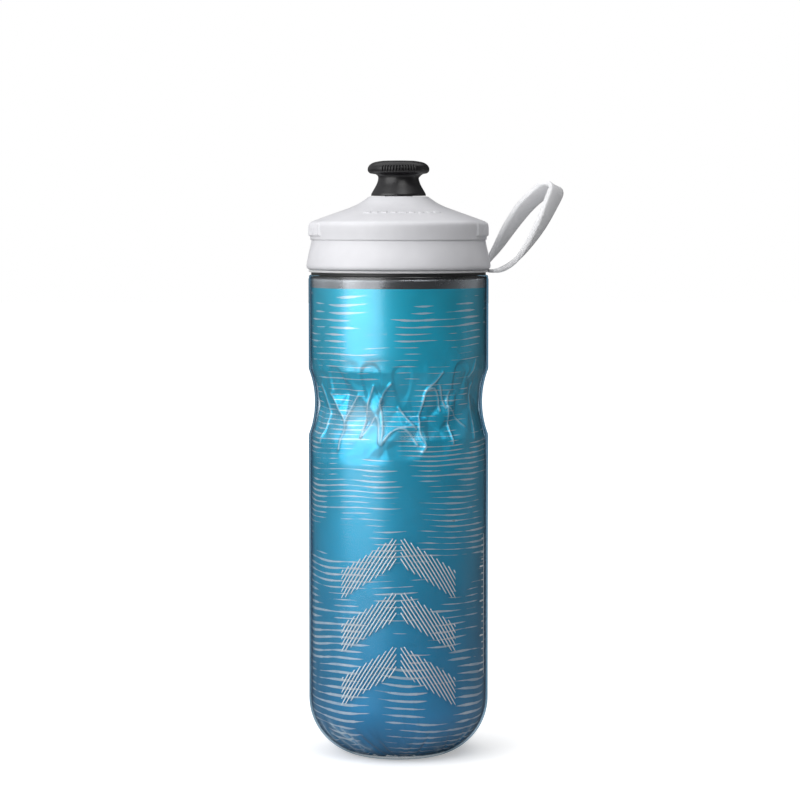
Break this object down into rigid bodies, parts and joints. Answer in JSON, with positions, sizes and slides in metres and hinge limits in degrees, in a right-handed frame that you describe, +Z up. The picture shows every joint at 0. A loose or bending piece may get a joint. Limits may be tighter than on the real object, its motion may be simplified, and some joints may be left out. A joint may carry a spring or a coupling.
{
  "type": "water bottle",
  "caption": "Insulated cycling squeeze bottle: clear shell over patterned metallic film, screw cap, pull-up mouthpiece and a carry strap on a swivelling ring.",
  "frame": {"origin": "centre of the flat foot that the bottle stands on", "axes": "+Z up along the bottle's axis, +X towards the strap, -Y towards the printed front"},
  "size_m": [0.105, 0.0746, 0.241],
  "materials": {
    "clear_shell": "clear, glossy, faint scuffs",
    "printed_film": "metallised film with a translucent turquoise to blue print",
    "vessel_plastic": "milky translucent squeeze plastic",
    "strap_rubber": "soft, satin, near white",
    "cap_plastic": "satin moulded plastic, near white",
    "seal_rubber": "soft seal, translucent grey",
    "stem_plastic": "moulded plastic, near white",
    "mouthpiece_plastic": "stiff black plastic",
    "mouthpiece_rubber": "soft black overmould, satin"
  },
  "bodies": {
    "bottle": {"outer_shell": "clear_shell", "foil_sleeve": "printed_film", "inner_bottle": "vessel_plastic"},
    "strap_base": {"strap_ring": "strap_rubber"},
    "strap": {"strap_loop": "strap_rubber"},
    "gasket": {"cap_gasket": "seal_rubber"},
    "cap": {"cap_shell": "cap_plastic", "valve_stem": "stem_plastic", "stem_seal": "seal_rubber"},
    "valve_ring": {"mouthpiece_seal": "seal_rubber"},
    "mouthpiece": {"mouthpiece_core": "mouthpiece_plastic", "mouthpiece_grip": "mouthpiece_rubber"}
  },
  "joints": [
    {"name": "strap_swivel", "type": "hinge", "parent": "bottle", "child": "strap_base", "pos_m": [0, 0, 0.1966], "axis": [0, 0, 1], "continuous": true},
    {"name": "strap_flex", "type": "hinge", "parent": "strap_base", "child": "strap", "pos_m": [0.03519, 0.01143, 0.1966], "axis": [-0.309, 0.9511, 0], "range_deg": [-20, 80], "stiffness_Nm_per_rad": 0.03},
    {"name": "cap_lift", "type": "slide", "parent": "bottle", "child": "gasket", "axis": [0, 0, 1], "range_m": [0, 0.01801]},
    {"name": "cap_turn", "type": "hinge", "parent": "gasket", "child": "cap", "pos_m": [0, 0, 0.206], "axis": [0, 0, 1], "range_deg": [0, 1080]},
    {"name": "mouthpiece_pull", "type": "slide", "parent": "cap", "child": "valve_ring", "axis": [0, 0, 1], "range_m": [0, 0.0058]},
    {"name": "mouthpiece_spin", "type": "hinge", "parent": "valve_ring", "child": "mouthpiece", "pos_m": [0, 0, 0.23], "axis": [0, 0, 1], "continuous": true}
  ],
  "couplings": [
    {"joint": "cap_lift", "follows": "cap_turn", "m_per_rad": 0.00095493}
  ]
}
